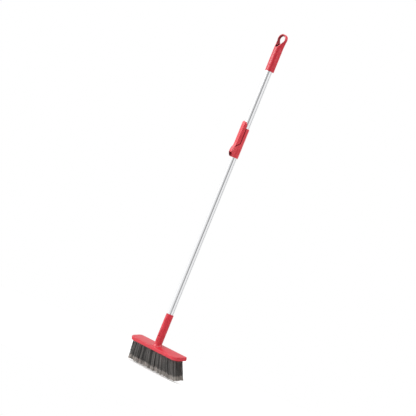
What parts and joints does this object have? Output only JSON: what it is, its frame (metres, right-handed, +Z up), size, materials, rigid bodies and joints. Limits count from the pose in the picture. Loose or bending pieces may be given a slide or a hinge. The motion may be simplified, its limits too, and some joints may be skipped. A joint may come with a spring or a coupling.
{
  "type": "telescopic broom",
  "caption": "Household broom: a raked brush head with dark flagged bristles on a telescopic metal handle with a lever lock and a hanging loop.",
  "frame": {"origin": "the point a wall hook bears on, at the top of the hole in the hanging loop, on the handle's axis; the whole broom hangs below it", "axes": "+Z up along the handle; X along the brush head; -Y is the front, the side the lock lever is on; the bristles rake down and towards +Y"},
  "size_m": [0.2828, 0.0688, 1.203],
  "materials": {
    "red_plastic": "satin",
    "aluminium": "satin",
    "white_nylon": "satin",
    "plated_steel": "satin",
    "bristle": "matte"
  },
  "bodies": {
    "handle": {"grip": "red_plastic", "outer_tube": "aluminium", "lock_body": "red_plastic", "lever_pin": "plated_steel", "lock_rivet": "plated_steel", "clamp_liner": "white_nylon"},
    "lever": {"lock_lever": "red_plastic"},
    "shoe": {"clamp_shoe": "red_plastic"},
    "guide": {"guide_bush": "white_nylon"},
    "lower": {"inner_tube": "aluminium", "tube_plug": "white_nylon", "brush_block": "red_plastic", "bristle_row_1": "bristle", "bristle_row_2": "bristle", "bristle_row_3": "bristle", "bristle_row_4": "bristle", "bristle_row_5": "bristle", "bristle_row_6": "bristle"},
    "tongue": {"release_tongue": "red_plastic"}
  },
  "joints": [
    {"name": "lever_hinge", "type": "hinge", "parent": "handle", "child": "lever", "pos_m": [0, -0.0198, -0.42], "axis": [1, 0, 0], "range_deg": [0, 100]},
    {"name": "shoe_slide", "type": "slide", "parent": "handle", "child": "shoe", "axis": [0, -1, 0], "range_m": [0, 0.0005]},
    {"name": "telescope", "type": "slide", "parent": "handle", "child": "guide", "axis": [0, 0, 1], "range_m": [0, 0.26]},
    {"name": "handle_turn", "type": "hinge", "parent": "guide", "child": "lower", "pos_m": [0, 0, -0.32], "axis": [0, 0, 1], "continuous": true},
    {"name": "release_hinge", "type": "hinge", "parent": "lower", "child": "tongue", "pos_m": [0, -0.0129, -1.055], "axis": [-1, 0, 0], "range_deg": [0, 8], "stiffness_Nm_per_rad": 0.5, "springref_deg": -1.15}
  ],
  "couplings": [
    {"joint": "shoe_slide", "follows": "lever_hinge", "m_per_rad": 0.000286}
  ]
}
